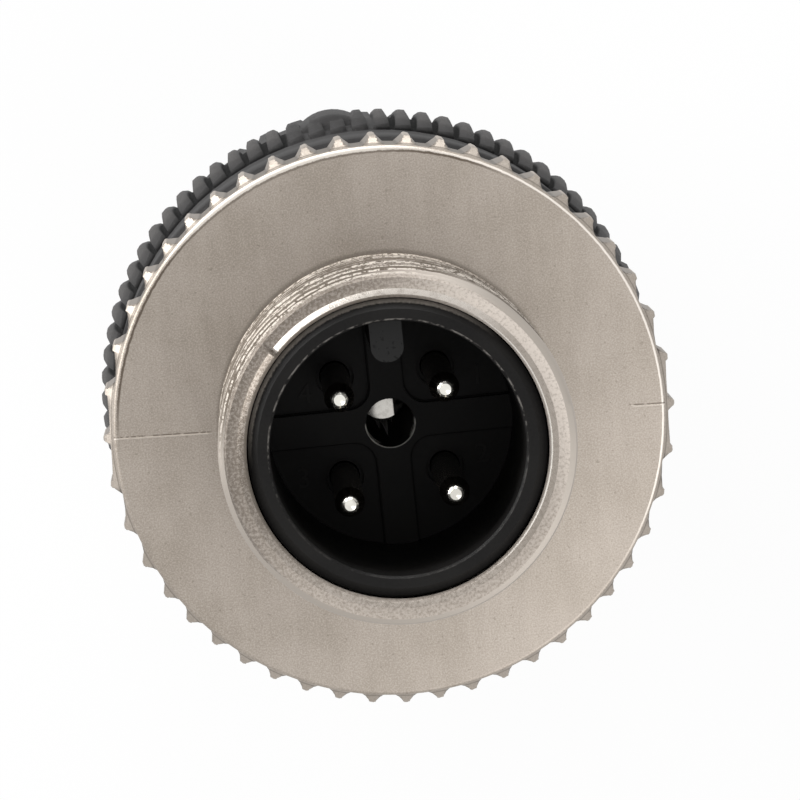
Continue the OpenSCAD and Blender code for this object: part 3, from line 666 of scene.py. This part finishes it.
def thread_tree():
    """Geometry nodes that make the surface of a screw thread as a tube open at both ends."""
    tree = bpy.data.node_groups.new("screw_thread", "GeometryNodeTree")
    names = ("Crest radius", "Depth", "Pitch", "Start", "End", "End radius", "Lead", "Run out")
    for name in names:
        tree.interface.new_socket(name, in_out="INPUT", socket_type="NodeSocketFloat")
    for name in ("Around", "Rows per pitch"):
        tree.interface.new_socket(name, in_out="INPUT", socket_type="NodeSocketInt")
    tree.interface.new_socket("Finish", in_out="INPUT", socket_type="NodeSocketMaterial")
    tree.interface.new_socket("Mesh", in_out="OUTPUT", socket_type="NodeSocketGeometry")
    g = Graph(tree)
    given = g.add("NodeGroupInput")
    crest, depth, pitch, start, end, end_radius, lead, run_out = (g.out(given, name) for name in names)
    around, rows_per_pitch = g.out(given, "Around"), g.out(given, "Rows per pitch")
    rows = g.math("CEIL", ((end - start) / pitch + 2) * rows_per_pitch) + 1
    grid = g.add(
        "GeometryNodeMeshGrid", None,
        {"Size X": 1.0, "Size Y": 1.0, "Vertices X": around + 1, "Vertices Y": rows},
    )
    # The grid is rolled up along a helix, and what lies beyond an end is pressed onto it
    place = g.add("ShaderNodeSeparateXYZ", None, {0: g.add("GeometryNodeInputPosition").outputs[0]})
    turn, along = g.out(place, 0) + 0.5, g.out(place, 1) + 0.5
    angle = turn * math.tau
    level = start - pitch + along * ((rows - 1) / rows_per_pitch) * pitch + turn * pitch - pitch
    level = g.math("MINIMUM", g.math("MAXIMUM", level, start), end)
    phase = g.math("FRACT", (level / pitch) - turn + 100)
    # One pitch of the profile: root, flank, crest, flank, with 0 on the crest and 1 at the root
    flank = g.math("ABSOLUTE", phase - 0.5) * 2
    ramp = g.add(
        "ShaderNodeMapRange", {"interpolation_type": "LINEAR"},
        {"Value": flank, "From Min": CREST_SHARE, "From Max": ROOT_SHARE},
    )
    profile = (g.out(ramp, "Result") * 3 + g.step(flank, CREST_SHARE, ROOT_SHARE)) / 4
    # The thread rises out of its root over the run-out, and ends under a lead-in cone
    risen = (1 - profile) * g.step(level, start, start + run_out)
    cone = end_radius + (end - level) / lead * (crest - end_radius)
    radius = g.math("MINIMUM", crest - depth * (1 - risen), cone)
    spot = g.add(
        "ShaderNodeCombineXYZ", None,
        {0: radius * g.math("COSINE", angle), 1: radius * g.math("SINE", angle), 2: level},
    )
    tube = {"Geometry": grid.outputs["Mesh"], "Position": spot.outputs[0]}
    moved = g.add("GeometryNodeSetPosition", None, tube)
    merged = g.add("GeometryNodeMergeByDistance", None, {"Geometry": moved.outputs[0], "Distance": 1e-4})
    real = g.add("GeometryNodeRealizeInstances", None, {"Geometry": merged.outputs[0]})
    finish = g.out(given, "Finish")
    coated = g.add("GeometryNodeSetMaterial", None, {"Geometry": real.outputs[0], "Material": finish})
    g.add("NodeGroupOutput", None, {"Mesh": coated.outputs[0]})
    return tree


SCREW_THREAD = thread_tree()


def grown(tree, inputs):
    """The mesh that a geometry node tree makes with these inputs, as a bmesh without doubles."""
    carrier = bpy.data.objects.new("carrier", bpy.data.meshes.new("carrier"))
    bpy.context.scene.collection.objects.link(carrier)
    modifier = carrier.modifiers.new("grow", "NODES")
    modifier.node_group = tree
    for item in tree.interface.items_tree:
        if item.in_out == "INPUT" and item.name in inputs:
            modifier[item.identifier] = inputs[item.name]
    graph = bpy.context.evaluated_depsgraph_get()
    mesh = bpy.data.meshes.new_from_object(carrier.evaluated_get(graph))
    bm = bmesh.new()
    bm.from_mesh(mesh)
    bpy.data.objects.remove(carrier)
    bpy.data.meshes.remove(mesh)
    bmesh.ops.remove_doubles(bm, verts=bm.verts, dist=1e-4)
    return bm


def boundary_ring(bm, level):
    """The open edge of a tube at a level, as vertices in order round the axis."""
    verts = {v for e in bm.edges if e.is_boundary for v in e.verts if abs(v.co.z - level) < 1e-3}
    return sorted(verts, key=lambda v: math.atan2(v.co.y, v.co.x) % math.tau)


def flash(bm, turn, start, end, height):
    """A fine ridge along the flat of the flange, where the halves of the die met."""
    turned = Matrix.Rotation(math.radians(turn), 3, "Z")
    rows = []
    for along in (start, end):
        corners = ((along, -FLASH_HALF, -FLASH_SUNK), (along, FLASH_HALF, -FLASH_SUNK), (along, 0, height))
        rows.append([bm.verts.new(turned @ Vector(c) + Vector((0, 0, FLANGE_TOP))) for c in corners])
    skin(bm, rows)
    bm.faces.new(rows[0])
    bm.faces.new(rows[1][::-1])


def bridge(bm, ring_a, ring_b):
    """Flat face between two rings of different counts at one level."""
    edges = [bm.edges.get((ring[i - 1], ring[i])) for ring in (ring_a, ring_b) for i in range(len(ring))]
    bmesh.ops.triangle_fill(bm, use_beauty=True, edges=edges)


def coupling_nut():
    """The nut's casting: screw thread on a sleeve, flange with a knurled rim, and the bore through both."""
    bm = grown(SCREW_THREAD, {
        "Crest radius": THREAD_R, "Depth": THREAD_DEPTH, "Pitch": THREAD_PITCH, "Start": THREAD_START,
        "End": THREAD_END, "End radius": FRONT_OUT_R - 0.02, "Lead": 0.35, "Run out": 0.7,
        "Around": THREAD_AROUND, "Rows per pitch": 12, "Finish": NICKEL,
    })
    rear_edge, front_edge = boundary_ring(bm, THREAD_START), boundary_ring(bm, THREAD_END)
    # Front face, chamfer of the bore with a nick, bore with the groove for the lock ring, rear face
    inside = [front_edge, *circles(bm, [
        (FRONT_OUT_R - 0.1, NUT_TOP),
        (FRONT_IN_R + 0.02, NUT_TOP),
        (FRONT_IN_R, NUT_TOP - 0.008),
        (CHAMFER_END_R, NUT_TOP - 0.09),
        (BORE_R - 0.04, NUT_TOP - 0.16),
        (BORE_R - 0.04, NUT_TOP - 0.2),
        (BORE_R, NUT_TOP - 0.3),
        (BORE_R, GROOVE_END),
        (GROOVE_R, GROOVE_END),
        (GROOVE_R, GROOVE_START),
        (BORE_R, GROOVE_START),
        (BORE_R, NUT_REAR + 0.1),
        (BORE_R + 0.1, NUT_REAR),
    ], THREAD_AROUND)]
    for ring in inside[2:5]:
        ring[round(THREAD_AROUND * NICK_AT / 360)].co.z -= NICK_DEPTH
    skin(bm, inside)
    # Undercut behind the thread and fillet to the flange
    root = THREAD_R - THREAD_DEPTH
    fillet = arc(root + FOOT_FILLET, FLANGE_TOP + FOOT_FILLET, FOOT_FILLET, 180, 270, 5)
    outside = [rear_edge, *circles(bm, [(root, FLANGE_TOP + 0.4), *fillet], THREAD_AROUND)]
    skin(bm, outside)
    # Knurled flange: rear bevel, teeth, front bevel, rounded rim
    outline = knurl_outline()
    levels = [
        (VALLEY_R - 0.1, NUT_REAR),
        (VALLEY_R + 0.02, NUT_REAR + 0.09),
        (NUT_R - 0.12, NUT_REAR + 0.2),
        (NUT_R, NUT_REAR + 0.32),
        (NUT_R, FLANGE_TOP - 0.62),
        (NUT_R - 0.04, FLANGE_TOP - 0.5),
        (NUT_R - 0.13, FLANGE_TOP - 0.39),
        (NUT_R - 0.24, FLANGE_TOP - 0.28),
        (VALLEY_R + 0.03, FLANGE_TOP - 0.19),
        *arc(VALLEY_R - 0.15, FLANGE_TOP - 0.15, 0.15, 12, 90, 4),
    ]
    flange = []
    for limit, z in levels:
        draft = SIDE_DRAFT * (z - NUT_REAR) / (FLANGE_TOP - NUT_REAR)
        flange.append(ring_of(bm, [(p.x, p.y, z) for p in clipped(outline, limit, draft)]))
    skin(bm, flange)
    bridge(bm, outside[-1], flange[-1])
    bridge(bm, inside[-1], flange[0])
    flash(bm, PARTING_TURN + 180, LEFT_FLASH, FLASH_END, LEFT_FLASH_HEIGHT)
    flash(bm, PARTING_TURN, RIGHT_FLASH, FLASH_END, RIGHT_FLASH_HEIGHT)
    made("coupling_nut_casting", bm, NICKEL, "nut", "nickel_plated_zinc", "coupling_nut", smooth=28)


def thread_ridges(name, core_r, levels, finish, body, slot):
    """The ridges of a fine moulded thread, just proud of the plain cylinder that they stand on."""
    start, end = levels
    crest = core_r + RIDGE
    bm = grown(SCREW_THREAD, {
        "Crest radius": crest, "Depth": RIDGE_DEPTH, "Pitch": THREAD_PITCH, "Start": start, "End": end,
        "End radius": crest - RIDGE_DEPTH, "Lead": 0.4, "Run out": 0.5,
        "Around": RIDGE_AROUND, "Rows per pitch": 10, "Finish": finish,
    })
    low, high = boundary_ring(bm, start), boundary_ring(bm, end)
    inner_r = crest - 0.3
    skin(bm, [high, *circles(bm, [(inner_r, end), (inner_r, start)], RIDGE_AROUND), low])
    made(name, bm, finish, body, slot, smooth=40)


def softened(node, name, finish, body, slot):
    """A copy of a CAD node whose facets are merged and shaded as the rounded ribs that they stand for."""
    bm = bmesh.new()
    bm.from_mesh(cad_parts[node].data)
    bm.transform(Matrix.Scale(1 / MM, 4))
    made(name, bm, finish, body, slot, node, smooth=62)


def contact_numbers():
    """The numbers of the contacts, raised on the floors of the pockets."""
    bm = bmesh.new()
    for digit, place in DIGITS:
        curve = bpy.data.curves.new("digit", "FONT")
        curve.body, curve.size, curve.extrude = digit, DIGIT_SIZE, DIGIT_HEIGHT
        curve.align_x, curve.align_y = "CENTER", "CENTER"
        holder = bpy.data.objects.new("digit", curve)
        bpy.context.scene.collection.objects.link(holder)
        graph = bpy.context.evaluated_depsgraph_get()
        mesh = bpy.data.meshes.new_from_object(holder.evaluated_get(graph))
        mesh.transform(Matrix.Translation((*place, FLOOR_TOP - POCKET_DEPTH)))
        bm.from_mesh(mesh)
        bpy.data.objects.remove(holder)
        bpy.data.meshes.remove(mesh)
    made("contact_numbers", bm, INSERT_BLACK, "insert", "black_insert")


coupling_nut()
softened("rear_housing", "housing_moulding", HOUSING_BLACK, "housing", "black_polyamide")
softened("gland_nut", "gland_moulding", HOUSING_BLACK, "gland", "black_polyamide")
thread_ridges("spigot_thread", SPIGOT_R, SPIGOT_THREAD, INSERT_BLACK, "insert", "black_insert")
thread_ridges("neck_thread", NECK_R, NECK_THREAD, HOUSING_BLACK, "housing", "black_polyamide")
contact_numbers()


# ---------------------------------------------------------------- floor, light, camera


FLOOR_REACH = 1.5  # metres
FLOOR_WHITE = 0.93
WORLD_LIGHT = 0.55
LAMPS = (  # name, place, width, watts
    ("left_box", (-170, 60, 70), 90, 0.2),
    ("upper_left_box", (-110, 140, 75), 90, 0.2),
    ("upper_box", (20, 180, 80), 80, 0.14),
    ("high_right_box", (70, -80, 170), 90, 0.085),
)
LAMP_AIM = (0, 0, 50)


def pale_floor():
    """A floor far wider than the plug, lit like matt paint and seen as almost plain white."""
    bm = bmesh.new()
    corners = ((-1, -1), (1, -1), (1, 1), (-1, 1))
    bm.faces.new(ring_of(bm, [(x * FLOOR_REACH, y * FLOOR_REACH, 0) for x, y in corners]))
    mesh = bpy.data.meshes.new("floor")
    bm.to_mesh(mesh)
    bm.free()
    floor = bpy.data.objects.new("floor", mesh)
    bpy.context.scene.collection.objects.link(floor)
    material = bpy.data.materials.new("pale_floor")
    material.use_nodes = True
    material.node_tree.nodes.clear()
    g = Graph(material.node_tree)
    matt = g.add("ShaderNodeBsdfDiffuse", None, {"Color": (0.86, 0.86, 0.86, 1)})
    white = g.add("ShaderNodeEmission", None, {"Color": (1, 1, 1, 1), "Strength": 1.0})
    share = g.seen_directly() * FLOOR_WHITE
    both = g.add("ShaderNodeMixShader", None, {0: share, 1: matt.outputs[0], 2: white.outputs[0]})
    g.add("ShaderNodeOutputMaterial", None, {"Surface": both.outputs[0]})
    mesh.materials.append(material)


def soft_world():
    """An even surround, which the camera and the metal see as plain white."""
    world = bpy.data.worlds.new("soft_world")
    bpy.context.scene.world = world
    world.use_nodes = True
    world.node_tree.nodes.clear()
    g = Graph(world.node_tree)
    light = g.add("ShaderNodeBackground", None, {"Color": (1, 1, 1, 1), "Strength": WORLD_LIGHT})
    white = g.add("ShaderNodeBackground", None, {"Color": (1, 1, 1, 1), "Strength": 1.0})
    share = g.seen_directly()
    both = g.add("ShaderNodeMixShader", None, {0: share, 1: light.outputs[0], 2: white.outputs[0]})
    g.add("ShaderNodeOutputWorld", None, {"Surface": both.outputs[0]})


def softbox(name, place, size, power):
    """A square lamp that looks at the upper part of the plug."""
    lamp = bpy.data.lights.new(name, "AREA")
    lamp.shape, lamp.size, lamp.energy = "SQUARE", size * MM, power
    holder = bpy.data.objects.new(name, lamp)
    holder.matrix_world = (
        Matrix.Translation(Vector(place) * MM)
        @ (Vector(place) - Vector(LAMP_AIM)).to_track_quat("Z", "Y").to_matrix().to_4x4()
    )
    holder.visible_camera = False
    bpy.context.scene.collection.objects.link(holder)


pale_floor()
soft_world()
for lamp in LAMPS:
    softbox(*lamp)

CAMERA_TURNS = (("X", 5.83), ("Y", 2.02), ("Z", 5.77))
CAMERA_DISTANCE = 164.4
CAMERA_ASIDE = (-0.352, -0.763, 0)
LENS = 211.3875
SENSOR = 36


def camera():
    """Looks down on the mating face, a little from above the key."""
    tilt = Matrix.Identity(3)
    for axis, degrees in CAMERA_TURNS:
        tilt = tilt @ Matrix.Rotation(math.radians(degrees), 3, axis)
    back = tilt.transposed()
    place = back @ (Vector((0, 0, CAMERA_DISTANCE)) - Vector(CAMERA_ASIDE)) + Vector((0, 0, FLANGE_TOP))
    eye = bpy.data.objects.new("camera", bpy.data.cameras.new("camera"))
    eye.data.sensor_width, eye.data.lens = SENSOR, LENS
    eye.data.clip_start, eye.data.clip_end = 0.01, 20
    eye.matrix_world = Matrix.Translation(place * MM) @ back.to_4x4()
    bpy.context.scene.collection.objects.link(eye)
    bpy.context.scene.camera = eye


camera()
bpy.context.scene.view_settings.view_transform = "Standard"
